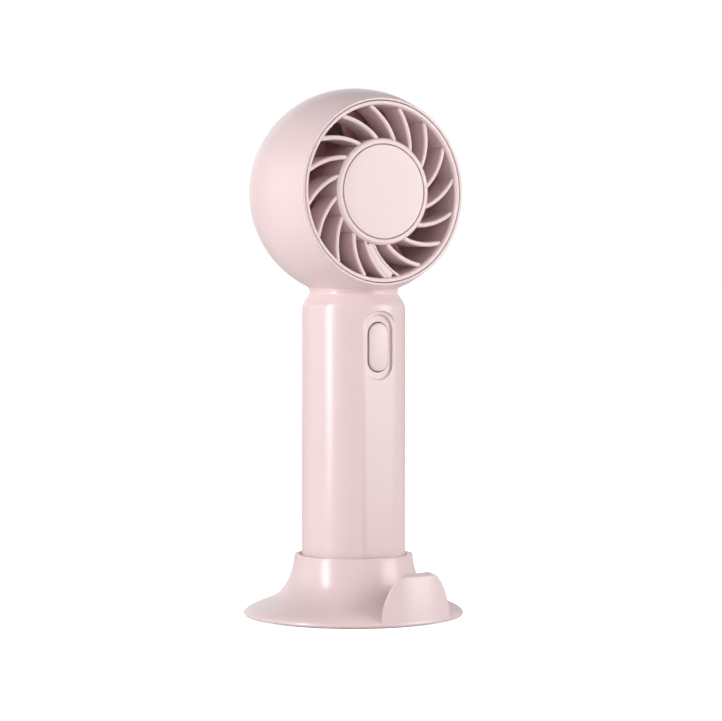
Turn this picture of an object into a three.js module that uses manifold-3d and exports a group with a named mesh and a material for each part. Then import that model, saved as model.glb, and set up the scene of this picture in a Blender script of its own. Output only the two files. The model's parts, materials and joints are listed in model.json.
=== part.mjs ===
// Handheld ball-head fan standing in a bell-shaped desk stand.
// Millimetres, +Z up, the fan blows towards -Y. The origin is the centre of the stand's foot.
import * as THREE from 'three';
import { mergeVertices } from 'three/addons/utils/BufferGeometryUtils.js';
import Module from 'manifold-3d';

const wasm = await Module();
wasm.setup();

// ---- driving dimensions ----
const gap = 0.3;                  // clearance between pieces that rest on each other
const wall = 2;                   // moulded wall
const pilotRadius = 1.3;          // hole that clears a screw's shank
const shankRadius = 1;
const screwHead = 2;

const rimRadius = 41.8;           // stand, across its foot
const rimUnderside = 0.5;
const collarTop = 23.7;
const collarRadius = 22.5;
const socketRadius = 20.2;
const socketFloor = 4;
const tongueTurn = 6;             // degrees, the stand is turned this much to the fan
const tongueReach = 41.5;         // front face of the upright tongue at its foot, from the axis
const tongueThickness = 2.1;
const tongueLean = 0.8;           // how much nearer to the axis it is at its top
const tongueTop = 19.6;           // its back edge; the top slopes down to the front
const tongueFrontTop = 18.3;
const tongueHalfWidth = 15.8;
const tongueTopHalfWidth = 4;

const handleRadius = 19.65;
const handleBore = 17.2;
const handleFoot = 4.4;
const shoulderStart = 116.7;
const neckHeight = 123.2;         // crease between handle and head
const neckRadius = 16.8;
const neckBore = 13.2;
const spigotRadius = 15.4;        // the head's collar, which stands in the top of the handle
const facetDepth = 18.3;          // flat strip down the front of the handle, from the axis
const facetHalfWidth = 7.6;
const facetTop = 116.2;           // the strip ends in an arch

const buttonHeight = 102.5;
const buttonWidth = 8.2;
const buttonLength = 18.2;
const buttonFront = 18.9;         // from the axis, so it stands proud of the flat strip
const buttonGap = 0.5;            // all round, in its hole
const pocketWidth = 11.9;
const pocketLength = 24.8;
const pocketDepth = 1.2;

const portHeight = 34.1;          // charging socket in the back of the handle
const portWidth = 3.2;
const portLength = 8.9;

const headCentre = 160.5;
const headRadius = 39.45;
const frontRadius = 52.6;         // flatter arc of the head's front half
const frontFace = -21.8;
const lipRadius = 35;
const mouthRadius = 34.05;        // bore that takes the grille
const rearOpening = 28.45;

const grilleRadius = 33.45;
const ductRadius = 31.6;
const ductEnd = 8.2;
const vanePitch = 22.5;           // degrees
const vaneCount = 16;             // places; one of them holds the wire duct
const firstVane = 15.5;           // degrees clockwise from the top, seen from the front
const vaneSweep = -23.5;
const vaneThickness = 1.8;
const vaneBack = -9.5;
const ductPlace = 8;
const hubRadius = 19.7;
const hubBack = -8.5;
const capRadius = 17.85;

const impellerBlades = 9;
const bladeTip = 30.7;

const cellRadius = 9.15;
const cellLength = 65;
const cellBottom = 41;
const cellSetBack = 5.3;

const boardFront = -7.3;          // main circuit board, behind the button

// ---- materials ----
function finish(color, roughness, metalness = 0) {
  return new THREE.MeshStandardMaterial({ color, roughness, metalness });
}

const pink = finish(0xeedbdd, 0.42);
const pinkLight = finish(0xf2e2e3, 0.4);
const rubber = finish(0x5a5052, 0.85);
const steel = finish(0xb9bcc0, 0.35, 1);
const darkSteel = finish(0x4a4c50, 0.5, 1);
const copper = finish(0xb5673a, 0.4, 1);
const boardGreen = finish(0x1f5a3a, 0.5);
const blackPlastic = finish(0x1c1c1e, 0.6);
const whitePlastic = finish(0xe8e6e2, 0.5);
const cellSleeve = finish(0x3f7fa8, 0.45);
const redWire = finish(0xb02a2a, 0.5);

// ---- tools ----
function toSolid(geometry) {
  const bare = new THREE.BufferGeometry();
  bare.setAttribute('position', geometry.getAttribute('position'));
  bare.setIndex(geometry.index);
  const merged = mergeVertices(bare);
  const corner = merged.getAttribute('position').array;
  const index = merged.index.array;
  const kept = [];
  let volume = 0;
  for (let i = 0; i < index.length; i += 3) {
    const [a, b, c] = [index[i], index[i + 1], index[i + 2]];
    if (a === b || b === c || c === a) continue;
    kept.push(a, b, c);
    const [p, q, r] = [a, b, c].map((k) => new THREE.Vector3().fromArray(corner, 3 * k));
    volume += p.dot(q.cross(r));
  }
  if (volume < 0) kept.reverse();
  const mesh = new wasm.Mesh({
    numProp: 3,
    vertProperties: new Float32Array(corner),
    triVerts: new Uint32Array(kept),
  });
  return new wasm.Manifold(mesh);
}

function toGeometry(solid) {
  const mesh = solid.getMesh();
  const geometry = new THREE.BufferGeometry();
  geometry.setAttribute('position', new THREE.BufferAttribute(mesh.vertProperties, 3));
  geometry.setIndex(new THREE.BufferAttribute(mesh.triVerts, 1));
  return geometry;
}

function joined(solids) {
  return solids.reduce((whole, next) => whole.add(next));
}

function cutBy(solid, cutters) {
  return cutters.reduce((rest, cutter) => rest.subtract(cutter), solid);
}

// A solid of revolution about Y. Each profile point is [radius, position on the axis].
function turned(profile, segments = 24) {
  return toSolid(new THREE.LatheGeometry(profile.map(([r, y]) => new THREE.Vector2(r, y)), segments));
}

// The same about Z.
function turnedUp(profile, segments = 24) {
  const points = profile.map(([r, z]) => new THREE.Vector2(r, z));
  return toSolid(new THREE.LatheGeometry(points, segments).rotateX(Math.PI / 2));
}

function discProfile(radius, from, to) {
  return [[0, from], [radius, from], [radius, to], [0, to]];
}

function ringProfile(inner, outer, from, to) {
  return [[inner, from], [outer, from], [outer, to], [inner, to], [inner, from]];
}

function moved(solid, x, y, z) {
  return solid.translate([x, y, z]);
}

function block(x0, x1, y0, y1, z0, z1) {
  const box = new THREE.BoxGeometry(x1 - x0, y1 - y0, z1 - z0);
  return toSolid(box.translate((x0 + x1) / 2, (y0 + y1) / 2, (z0 + z1) / 2));
}

// A shape drawn in X and Z, pushed from yFront to yBack.
function plate(shape, yFront, yBack, curveSegments = 8) {
  const options = { depth: yBack - yFront, bevelEnabled: false, curveSegments };
  return toSolid(new THREE.ExtrudeGeometry(shape, options).rotateX(Math.PI / 2).translate(0, yBack, 0));
}

function pill(width, length) {
  const r = width / 2;
  const straight = length / 2 - r;
  const shape = new THREE.Shape();
  shape.absarc(0, straight, r, 0, Math.PI);
  shape.absarc(0, -straight, r, Math.PI, 2 * Math.PI);
  shape.closePath();
  return shape;
}

// A pill lying across the back of the handle at the charging socket, from yBack forward to yFront.
function lyingPill(width, length, yBack, yFront) {
  const options = { depth: yBack - yFront, bevelEnabled: false, curveSegments: 6 };
  const geometry = new THREE.ExtrudeGeometry(pill(width, length), options);
  return toSolid(geometry.rotateZ(Math.PI / 2).rotateX(Math.PI / 2).translate(0, yBack, portHeight));
}

// The points of a Bezier curve, without its first point.
function curve(from, a, b, to, steps = 8) {
  const [p, q, r, s] = [from, a, b, to].map(([x, y]) => new THREE.Vector2(x, y));
  return new THREE.CubicBezierCurve(p, q, r, s).getPoints(steps).slice(1).map((v) => [v.x, v.y]);
}

// Points on a circle about (centre, 0) between two positions on the axis, without the first.
function arc(centre, radius, from, to, steps) {
  const a0 = Math.asin(from / radius);
  const a1 = Math.asin(to / radius);
  return Array.from({ length: steps }, (_, i) => a0 + ((a1 - a0) * (i + 1)) / steps)
    .map((a) => [centre + radius * Math.cos(a), radius * Math.sin(a)]);
}

function tube(points, radius, steps) {
  const path = new THREE.CatmullRomCurve3(points.map((p) => new THREE.Vector3(...p)));
  const section = new THREE.Shape().absarc(0, 0, radius, 0, 2 * Math.PI);
  const options = { steps, extrudePath: path, bevelEnabled: false, curveSegments: 3 };
  return toSolid(new THREE.ExtrudeGeometry(section, options));
}

// Clockwise from the top, seen from the front.
function onFace(radius, degrees) {
  const a = THREE.MathUtils.degToRad(degrees);
  return [radius * Math.sin(a), radius * Math.cos(a)];
}

const fan = new THREE.Group();
const head = new THREE.Group();
head.position.set(0, 0, headCentre);

function add(name, solid, material, group = fan) {
  const mesh = new THREE.Mesh(toGeometry(solid), material);
  mesh.name = name;
  group.add(mesh);
}

// A countersunk screw that points up the local Z axis from its head at z = 0.
function screwProfile(length) {
  return [[0, 0], [screwHead, 0], [shankRadius, 1], [shankRadius, length], [0, length]];
}

// ---- the stand ----
const bellLine = [
  [collarRadius, collarTop - 0.7],
  ...curve([collarRadius, collarTop - 0.7], [23.2, 16.5], [25.6, 10.2], [30.5, 7.4], 6),
  ...curve([30.5, 7.4], [34, 5.4], [rimRadius, 3.6], [rimRadius, 1.2], 6),
];
const baseScrewRadius = 29;       // from the axis
const baseScrewAngles = [90, 210, 330];
const atBaseScrews = (solid) => baseScrewAngles
  .map((angle) => moved(solid, baseScrewRadius, 0, 0).rotate([0, 0, angle]));

// The upright tongue that keeps a phone, leaned on the handle, from sliding off the stand.
function tongue() {
  const shape = new THREE.Shape();
  shape.moveTo(-tongueHalfWidth, 0);
  shape.lineTo(tongueHalfWidth, 0);
  shape.lineTo(tongueHalfWidth, 3.5);
  shape.bezierCurveTo(15.4, 10.5, 10.5, 18.2, tongueTopHalfWidth, tongueTop);
  shape.lineTo(-tongueTopHalfWidth, tongueTop);
  shape.bezierCurveTo(-10.5, 18.2, -15.4, 10.5, -tongueHalfWidth, 3.5);
  shape.closePath();
  const options = { depth: rimRadius - collarRadius, bevelEnabled: false, curveSegments: 8 };
  const arch = new THREE.ExtrudeGeometry(shape, options).rotateX(Math.PI / 2).translate(0, -collarRadius, 0);
  const at = arch.getAttribute('position');
  for (let k = 0; k < at.count; k += 1) {     // its sides point at the axis
    at.setX(k, -at.getY(k) * Math.tan(Math.asin(at.getX(k) / tongueReach)));
  }
  const inner = tongueReach - tongueThickness;
  const curved = turnedUp([
    [inner, rimUnderside], [tongueReach, rimUnderside], [tongueReach - tongueLean, tongueFrontTop],
    [inner - tongueLean, tongueTop], [inner, rimUnderside],
  ], 72);
  return toSolid(arch).intersect(curved).rotate([0, 0, tongueTurn]);
}

function standShell() {
  const skirt = [[0, rimUnderside], [rimRadius - 0.6, rimUnderside], [rimRadius, 1.2]];
  const rise = [...bellLine].reverse().slice(1);
  const crown = [[collarRadius - 0.3, collarTop - 0.3], [collarRadius - 1, collarTop], [0, collarTop]];
  const outside = turnedUp([...skirt, ...rise, ...crown], 48).add(tongue());
  const socket = turnedUp([
    [0, socketFloor], [socketRadius - 1, socketFloor], [socketRadius, socketFloor + 1],
    [socketRadius, collarTop - 0.6], [socketRadius + 0.6, collarTop + 0.1], [0, collarTop + 0.1],
  ], 48);
  const tubeOutside = socketRadius + 1.6;
  const hollow = turnedUp([
    [tubeOutside, 2.6], [tubeOutside, 16], [tubeOutside + 0.4, 16], [24, 10.6], [26.6, 7.3], [29.6, 5.5],
    [33.6, 4], [37.4, 2.9], [39.9, 2], [39.9, 0], [0, 0], [0, 2.6], [tubeOutside, 2.6],
  ], 48);
  const post = turnedUp(discProfile(2.6, 2.7, 6.6), 16);
  const pilot = turnedUp(discProfile(pilotRadius, 2, 5.2), 12);
  const shell = cutBy(outside, [hollow, socket]);
  return cutBy(joined([shell, ...atBaseScrews(post)]), atBaseScrews(pilot));
}

function basePlate() {
  const disc = turnedUp([[0, 1], [38.9, 1], [39.6, 1.4], [39.6, 1.9], [26, 2.3], [0, 2.3]], 40);
  const sink = turnedUp([
    [0, 0.9], [screwHead + 0.4, 0.9], [screwHead + 0.4, 1.05], [pilotRadius, 2.1], [pilotRadius, 3], [0, 3],
  ], 16);
  return cutBy(disc, atBaseScrews(sink));
}

add('stand_shell', standShell(), pink);
add('stand_base_plate', basePlate(), pink);
add('foot_ring', turnedUp(ringProfile(34, 39, 0, 0.7), 40), rubber);
atBaseScrews(moved(turnedUp(screwProfile(3.9), 12), 0, 0, 1.05)).forEach((screw, i) => {
  add(`base_screw_${i + 1}`, screw, steel);
});

// ---- the handle ----
const endScrewX = 13.6;
const postX = endScrewX + 1;
const onBothSides = (solid, x, y = 0) => [-1, 1].map((side) => moved(solid, side * x, y, 0));

function handleShell() {
  const shoulderEnd = [neckRadius, neckHeight - 0.2];
  const outside = [
    [0, handleFoot], [handleRadius - 1, handleFoot], [handleRadius, handleFoot + 1],
    [handleRadius, shoulderStart],
    ...curve([handleRadius, shoulderStart], [handleRadius, 119.2], [17.9, 121.6], shoulderEnd, 5),
    [0, neckHeight - 0.2],
  ];
  const inside = [
    [0, handleFoot - 1], [handleBore, handleFoot - 1], [handleBore, shoulderStart - 2],
    [spigotRadius + 0.35, shoulderStart + 1], [spigotRadius + 0.35, neckHeight + 1], [0, neckHeight + 1],
  ];
  const strip = new THREE.Shape();
  strip.moveTo(-facetHalfWidth, 0);
  strip.lineTo(facetHalfWidth, 0);
  strip.absarc(0, facetTop - facetHalfWidth, facetHalfWidth, 0, Math.PI);
  strip.closePath();
  const facet = plate(strip, -handleRadius - 1, -facetDepth);
  const barrel = cutBy(turnedUp(outside, 48), [turnedUp(inside, 32), facet]);
  const frame = moved(plate(pill(14, 28), -17.8, -14), 0, 0, buttonHeight);
  const screwPost = turnedUp(discProfile(3, 9.3, 22), 16);
  const rail = block(-1.4, 1.4, -15.3, boardFront - gap, buttonHeight - 15, buttonHeight + 12);
  const rails = onBothSides(rail, 7.4);
  const posts = onBothSides(screwPost, postX);
  const full = turnedUp(outside, 48).subtract(facet);
  const solid = joined([barrel, ...[frame, ...rails, ...posts].map((piece) => piece.intersect(full))]);
  const dishEdge = 1.3;
  const dish = new THREE.ExtrudeGeometry(pill(pocketWidth - 2 * dishEdge, pocketLength - 2 * dishEdge), {
    depth: 1, bevelEnabled: true, bevelThickness: pocketDepth, bevelSize: dishEdge, bevelSegments: 2,
    curveSegments: 6,
  });
  const pocket = toSolid(dish.rotateX(Math.PI / 2).translate(0, -facetDepth, buttonHeight));
  const hole = plate(pill(buttonWidth + 2 * buttonGap, buttonLength + 2 * buttonGap), -20, -10, 6);
  const port = lyingPill(portWidth + 0.9, portLength + 0.9, 21, 13);
  const pilot = turnedUp(discProfile(pilotRadius, 9, 18), 12);
  return cutBy(solid, [pocket, moved(hole, 0, 0, buttonHeight), port, ...onBothSides(pilot, endScrewX)]);
}

const boardPostX = 5.6;
const boardPostY = 5;
const boardUnderside = 30.8;      // charging board
const boardThickness = 1.2;

function endCap() {
  const disc = turnedUp([
    [0, handleFoot], [handleBore - 0.8, handleFoot], [handleBore - 0.4, handleFoot + 0.4],
    [handleBore - 0.4, 9], [handleBore - 2, 9], [handleBore - 2, 6.8], [0, 6.8],
  ], 32);
  const sink = turnedUp([
    [0, 3], [screwHead + 0.7, 3], [screwHead + 0.7, 5.4], [pilotRadius, 6.4], [pilotRadius, 10], [0, 10],
  ], 16);
  const relief = turnedUp(discProfile(3.4, 6.9, 12), 16);
  const cuts = [...onBothSides(sink, endScrewX), ...onBothSides(relief, postX)];
  const post = turnedUp(discProfile(2, 6, boardUnderside - 0.4), 14);
  const pilot = turnedUp(discProfile(1.1, 22, boardUnderside), 10);
  const posts = onBothSides(post, boardPostX, boardPostY);
  return cutBy(joined([cutBy(disc, cuts), ...posts]), onBothSides(pilot, boardPostX, boardPostY));
}

add('handle_shell', handleShell(), pink);
add('handle_end_cap', endCap(), pink);
onBothSides(moved(turnedUp(screwProfile(10), 12), 0, 0, 5.4), endScrewX).forEach((screw, i) => {
  add(`end_cap_screw_${i + 1}`, screw, steel);
});

// ---- the power button and its switch ----
function powerButton() {
  const edge = 0.6;
  const depth = 3.6;
  const behind = depth + edge - buttonFront;
  const flat = pill(buttonWidth - 2 * edge, buttonLength - 2 * edge);
  const cap = new THREE.ExtrudeGeometry(flat, {
    depth, bevelEnabled: true, bevelThickness: edge, bevelSize: edge, bevelSegments: 2, curveSegments: 6,
  });
  const front = toSolid(cap.rotateX(Math.PI / 2).translate(0, behind, 0));
  const flange = plate(pill(buttonWidth + 2, buttonLength + 2), -13.7, -12.8);
  return moved(joined([front, plate(flat, behind, -13.2), flange]), 0, 0, buttonHeight);
}

const switchFront = -11.1;

function tactSwitch() {
  const body = block(-3, 3, switchFront, boardFront - gap, buttonHeight - 3, buttonHeight + 3);
  return body.subtract(moved(turned(discProfile(2, switchFront - 1, -8.6), 16), 0, 0, buttonHeight));
}

add('power_button', powerButton(), pinkLight);
add('switch_stem', moved(turned(discProfile(1.7, -12.5, -9.7), 16), 0, 0, buttonHeight), blackPlastic);
add('tact_switch', tactSwitch(), blackPlastic);
add('main_board', block(-8, 8, boardFront, boardFront + boardThickness, 84, 113), boardGreen);

// ---- battery ----
function batteryCradle() {
  const inner = cellRadius + 0.35;
  const shape = new THREE.Shape();
  shape.absarc(0, 0, inner + 1.2, 0, Math.PI);
  shape.lineTo(-inner, 0);
  shape.absarc(0, 0, inner, Math.PI, 0, true);
  shape.closePath();
  const height = cellLength + 3;
  const options = { depth: height, bevelEnabled: false, curveSegments: 16 };
  return toSolid(new THREE.ExtrudeGeometry(shape, options).translate(0, cellSetBack, cellBottom - 1.5));
}

const cellTop = cellBottom + cellLength;
const cellProfile = [
  [0, cellBottom], [cellRadius, cellBottom], [cellRadius, cellTop - 1],
  [3, cellTop - 1], [3, cellTop], [0, cellTop],
];
const tabThickness = 0.3;

function cellTab(z) {
  return block(-3, 3, cellSetBack - 9, cellSetBack + 3, z, z + tabThickness);
}

add('battery_cell', moved(turnedUp(cellProfile, 32), 0, cellSetBack, 0), cellSleeve);
add('battery_cradle', batteryCradle(), whitePlastic);
add('cell_tab_top', cellTab(cellTop + gap), steel);
add('cell_tab_bottom', cellTab(cellBottom - gap - tabThickness), steel);

// ---- charging socket, on its board over the end cap's posts ----
function chargingSocket() {
  const mouth = 19;
  const inside = 0.7;
  const shell = lyingPill(portWidth, portLength, mouth, mouth - 7.8);
  const bore = lyingPill(portWidth - inside, portLength - inside, mouth + 0.5, mouth - 5.5);
  const blade = block(-3.3, 3.3, mouth - 7, mouth - 1.2, portHeight - 0.35, portHeight + 0.35);
  return shell.subtract(bore).add(blade);
}

function chargingBoard() {
  const board = block(-8.5, 8.5, 1.5, 14.2, boardUnderside, boardUnderside + boardThickness);
  const hole = turnedUp(discProfile(pilotRadius, 30, 33), 12);
  return cutBy(board, onBothSides(hole, boardPostX, boardPostY));
}

add('charging_socket', chargingSocket(), steel);
add('charging_board', chargingBoard(), boardGreen);
const boardScrew = turnedUp([[0, 24], [0.8, 24], [0.8, 32.3], [1.8, 32.3], [1.8, 33.3], [0, 33.3]], 12);
onBothSides(boardScrew, boardPostX, boardPostY).forEach((screw, i) => {
  add(`board_screw_${i + 1}`, screw, steel);
});

// ---- the ball head: everything below is turned about the air axis, local Y ----
const grilleScrewAngles = [30, 150, 270];
const grilleScrewRadius = 34.1;
const atGrilleScrews = (solid) => grilleScrewAngles.map((angle) => {
  const [x, z] = onFace(grilleScrewRadius, angle);
  return moved(solid, x, 0, z);
});
const rearRim = 27.3;             // where the shell ends at the back, and the seat of the rear grille
const rearSeat = 25.2;
const rearLip = 26.4;
const shellEnd = 23.6;

function headShell() {
  const outer = [
    [mouthRadius, frontFace + 0.5], [mouthRadius + 0.45, frontFace], [lipRadius, frontFace + 0.45],
    ...arc(headRadius - frontRadius, frontRadius, frontFace + 0.9, 0, 5),
    ...arc(0, headRadius, 0, rearRim, 6),
    [rearOpening, rearRim], [rearOpening, rearSeat], [rearLip, rearSeat], [rearLip, shellEnd],
  ];
  const innerRadius = headRadius - wall;
  const inner = [
    ...arc(0, innerRadius, shellEnd, 10, 4), [32.9, 10], [32.9, ductEnd + gap], [36.4, ductEnd + gap],
    ...arc(0, innerRadius, 7, 0, 3), [36.2, -5], [mouthRadius, -8], [mouthRadius, frontFace + 0.5],
  ];
  const ball = turned([...outer, [Math.sqrt(innerRadius ** 2 - shellEnd ** 2), shellEnd], ...inner], 44);
  const collar = turnedUp([
    [0, 117.8], [spigotRadius, 117.8], [spigotRadius, neckHeight + 0.2], [neckRadius, neckHeight + 0.2],
    [neckRadius, 124], [17.3, 124.7], [18.2, 125.3], [19.4, 126], [19.4, 128], [0, 128],
  ], 36).translate([0, 0, -headCentre]);
  const cavity = turned([
    [0, -20], [mouthRadius, -20], [mouthRadius, -8], [36.2, -5], [innerRadius, 0],
    ...arc(0, innerRadius, 0, shellEnd, 4), [0, shellEnd],
  ], 44);
  const passage = turnedUp(discProfile(neckBore, 100, 130), 24).translate([0, 0, -headCentre]);
  const hole = turned(discProfile(pilotRadius, 6, 12), 12);
  return cutBy(ball.add(collar.subtract(cavity)), [passage, ...atGrilleScrews(hole)]);
}

// One vane's outline on the face, between two radii, as wide as asked.
function vaneShape(startAngle, innerRadius, outerRadius, halfWidth, steps = 5) {
  const edge = (side) => Array.from({ length: steps + 1 }, (_, i) => {
    const r = innerRadius + ((outerRadius - innerRadius) * i) / steps;
    const turn = vaneSweep * ((r - hubRadius) / (ductRadius - hubRadius));
    const slope = THREE.MathUtils.degToRad(vaneSweep / (ductRadius - hubRadius)) * r;
    const across = (side * halfWidth(r) * Math.sqrt(1 + slope ** 2)) / r;
    return onFace(r, startAngle + turn + THREE.MathUtils.radToDeg(across));
  });
  const outline = [...edge(-1), ...edge(1).reverse()].map(([x, z]) => new THREE.Vector2(x, z));
  return new THREE.Shape(outline);
}

const ductAngle = firstVane + vanePitch * ductPlace + 0.8;
const ductWall = 1;
const ductHalfWidth = (r) => 2.5 + 0.05 * (r - hubRadius);
const wayHalfWidth = (r) => ductHalfWidth(r) - ductWall;
const coverHalfWidth = (r) => wayHalfWidth(r) - 0.35;

// The space in front of the vanes, whose front edges sink from the hub to the bezel.
function aheadOfVanes(setBack) {
  const [inner, outer] = [hubRadius - 0.6, ductRadius + 0.75];
  return turned([
    [inner, setBack - 20.8], [outer, setBack - 20.5], [outer, -23], [inner, -23], [inner, setBack - 20.8],
  ], 36);
}

function frontGrille() {
  const bezel = turned([
    [grilleRadius, frontFace + 0.6], [grilleRadius - 0.4, frontFace + 0.2], [32.7, frontFace + 0.2],
    [32.3, frontFace + 0.9], [ductRadius, -12], [ductRadius, ductEnd], [grilleRadius, ductEnd],
    [grilleRadius, frontFace + 0.6],
  ], 44);
  const hub = turned([
    [18.15, frontFace + 0.2], [18.35, frontFace], [19.2, frontFace], [hubRadius, frontFace + 0.7],
    [hubRadius, hubBack], [18.1, hubBack], [18.1, -18.9], [4.3, -18.9], [4.3, -9.9], [3.3, -9.9],
    [3.3, -20.1], [18.15, -20.1], [18.15, frontFace + 0.2],
  ], 36);
  const clearance = aheadOfVanes(0);
  const places = Array.from({ length: vaneCount }, (_, i) => i).filter((i) => i !== ductPlace);
  const slim = () => vaneThickness / 2;
  const vanes = places.map((i) => {
    const shape = vaneShape(firstVane + vanePitch * i, hubRadius - 0.3, ductRadius + 0.6, slim);
    return plate(shape, -21, vaneBack).subtract(clearance);
  });
  const ductShape = vaneShape(ductAngle, hubRadius - 0.3, ductRadius + 0.6, ductHalfWidth);
  const wireWay = vaneShape(ductAngle, hubRadius - 2, ductRadius + 3, wayHalfWidth, 9);
  const trough = plate(ductShape, -21, hubBack).subtract(clearance).subtract(plate(wireWay, -21, -10));
  const wireHole = plate(wireWay, -19, -10);
  const lug = turned(discProfile(2, 1, ductEnd), 12);
  const pilot = turned(discProfile(pilotRadius, 2, 9), 12);
  const bore = turned(discProfile(ductRadius, -11, 9), 48);
  const lugs = atGrilleScrews(lug).map((piece) => piece.subtract(bore));
  return cutBy(joined([bezel, hub, ...vanes, trough, ...lugs]), [wireHole, ...atGrilleScrews(pilot)]);
}

function rearGrille() {
  const seat = rearOpening - 0.35;
  const shellThickness = 1.8;
  const edgeY = Math.sqrt(headRadius ** 2 - seat ** 2);
  const inside = headRadius - shellThickness;
  const dome = turned([
    [0, headRadius], ...arc(0, headRadius, headRadius, edgeY, 6).slice(0, -1), [seat, edgeY],
    [seat, 25.5], [seat - 1.6, 25.5], ...arc(0, inside, 26.4, inside, 4), [0, headRadius],
  ], 40);
  const slotCount = 20;
  const slotStart = 9.5;
  const slotLength = 15.6;
  const sweep = 40;
  const steps = 4;
  const slots = Array.from({ length: slotCount }, (_, k) => {
    const edge = (side) => Array.from({ length: steps + 1 }, (_, i) => {
      const out = (slotLength * i) / steps;
      const r = slotStart + out;
      const across = (side * (0.55 + 0.055 * out)) / r;
      return onFace(r, (360 / slotCount) * k + (sweep * i) / steps + THREE.MathUtils.radToDeg(across));
    });
    const outline = [...edge(-1), ...edge(1).reverse()].map(([x, z]) => new THREE.Vector2(x, z));
    return plate(new THREE.Shape(outline), 20, 42);
  });
  const hook = block(-2, 2, 22.6, 26, 25, 26.1).add(block(-2, 2, 22.4, 23.2, 25, 26.9));
  const hooks = [0, 120, 240].map((a) => hook.rotate([0, a, 0]));
  return joined([cutBy(dome, slots), ...hooks]);
}

add('head_shell', headShell(), pink, head);
add('front_grille', frontGrille(), pink, head);
add('hub_cap', turned([[0, frontFace], [capRadius - 0.25, frontFace], [capRadius, frontFace + 0.25],
  [capRadius, -20.4], [0, -20.4]], 44), pinkLight, head);
const coverShape = vaneShape(ductAngle, hubRadius + 0.4, ductRadius - 0.6, coverHalfWidth);
add('wire_duct_cover', plate(coverShape, -21, -18).subtract(aheadOfVanes(0.2)), pink, head);
add('rear_grille', rearGrille(), pink, head);
const grilleScrew = turned([
  [0, 3], [shankRadius, 3], [shankRadius, 10.3], [1.4, 10.3], [1.4, 11.2], [0, 11.2],
], 12);
atGrilleScrews(grilleScrew).forEach((screw, i) => add(`grille_screw_${i + 1}`, screw, steel, head));

// ---- motor, standing in the hub ----
const toothCount = 6;
const coreFront = -16.4;
const coreBack = -11.6;
const shaftRadius = 1;
const shaftBore = 1.1;
const atTooth = (solid, i) => solid.rotate([0, (360 / toothCount) * i, 0]);

function statorCore() {
  const yoke = turned(ringProfile(4.6, 6.6, coreFront, coreBack), 24);
  const tooth = block(-1.3, 1.3, coreFront, coreBack, 5.8, 12);
  const rim = turned(ringProfile(11.2, 12.4, coreFront, coreBack), 48);
  const shoe = rim.intersect(block(-4.6, 4.6, coreFront - 1, coreBack + 1, 5, 13));
  return joined([yoke, ...Array.from({ length: toothCount }, (_, i) => atTooth(tooth.add(shoe), i))]);
}

function coil() {
  const turns = block(-2.7, 2.7, coreFront - 0.8, coreBack + 0.8, 7, 10.8);
  return turns.subtract(block(-1.6, 1.6, coreFront - gap, coreBack + gap, 6, 12));
}

add('motor_board', turned(ringProfile(4.6, 16, -18.6, -17.6), 32), boardGreen, head);
add('stator_core', statorCore(), darkSteel, head);
for (let i = 0; i < toothCount; i += 1) add(`stator_coil_${i + 1}`, atTooth(coil(), i), copper, head);
add('front_bearing', turned(ringProfile(shaftBore, 3, -19.6, -17.1), 24), steel, head);
add('rear_bearing', turned(ringProfile(shaftBore, 3, -12.4, -9.9), 24), steel, head);

// ---- what spins ----
function rotorCup() {
  return turned([
    [1.3, -9.5], [1.3, -8.7], [15.5, -8.7], [15.5, -17], [14.8, -17], [14.8, -9.5], [1.3, -9.5],
  ], 32);
}

function blade(i) {
  const root = 18.2;
  const span = bladeTip - root;
  const halfTurn = THREE.MathUtils.degToRad(17);
  const reach = 5.6;
  const thickness = 1.2;
  const box = new THREE.BoxGeometry(1, 1, 1, 3, 4, 1);
  const at = box.getAttribute('position');
  for (let k = 0; k < at.count; k += 1) {
    const r = root + span * (at.getX(k) + 0.5);
    const along = 2 * at.getY(k);
    const lean = Math.atan2(reach, r * halfTurn);
    const off = at.getZ(k) * thickness;
    const curl = halfTurn * along * (1 - 0.12 * along) + (off * Math.sin(lean)) / r;
    const turn = curl + (2 * Math.PI * i) / impellerBlades;
    at.setXYZ(k, r * Math.sin(turn), reach * along - off * Math.cos(lean), r * Math.cos(turn));
  }
  return toSolid(box);
}

function impeller() {
  const hub = turned([
    [1.3, -8.3], [15.85, -8.3], [15.85, -15], [17.2, -15], [17.2, -7.6], [18.8, -7.6], [19, -7.2],
    [19, 6.4], [17.4, 6.4], [17.4, -6.8], [3.2, -6.8], [3.2, -3], [1.3, -3], [1.3, -8.3],
  ], 32);
  return joined([hub, ...Array.from({ length: impellerBlades }, (_, i) => blade(i))]);
}

add('impeller', impeller(), pinkLight, head);
add('rotor_cup', rotorCup(), steel, head);
add('magnet_ring', turned(ringProfile(12.9, 14.5, -16.6, -10), 32), blackPlastic, head);
add('motor_shaft', turned(discProfile(shaftRadius, -20, -2.4), 24), steel, head);
add('shaft_clip', turned(ringProfile(1.3, 2.6, -2.7, -2.1), 20), darkSteel, head);

// ---- leads ----
const inDuct = [[17, -17], [20, -16.6], [23, -15], [26, -13], [29, -11.6], [32, -10.9]].map(([r, y]) => {
  const [x, z] = onFace(r, ductAngle + (vaneSweep * (r - hubRadius)) / (ductRadius - hubRadius));
  return [x, y, headCentre + z];
});
const motorLead = [...inDuct, [4.2, -10.6, 125], [3.2, -9.9, 121], [3, -9.2, 117], [3, -8.4, 113.4]];
const cellLead = [[4.6, -0.2, 108.4], [5.4, -2, 109.4], [5.2, -3.8, 109], [5, -5.2, 108.2]];
const chargeLead = [
  [-7.6, 3, 33], [-10.6, 0.5, 36], [-12, -1.6, 44], [-12.2, -2.6, 60], [-11.6, -3.6, 78],
  [-8.6, -4.4, 84], [-6.4, -5.1, 88],
];

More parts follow.
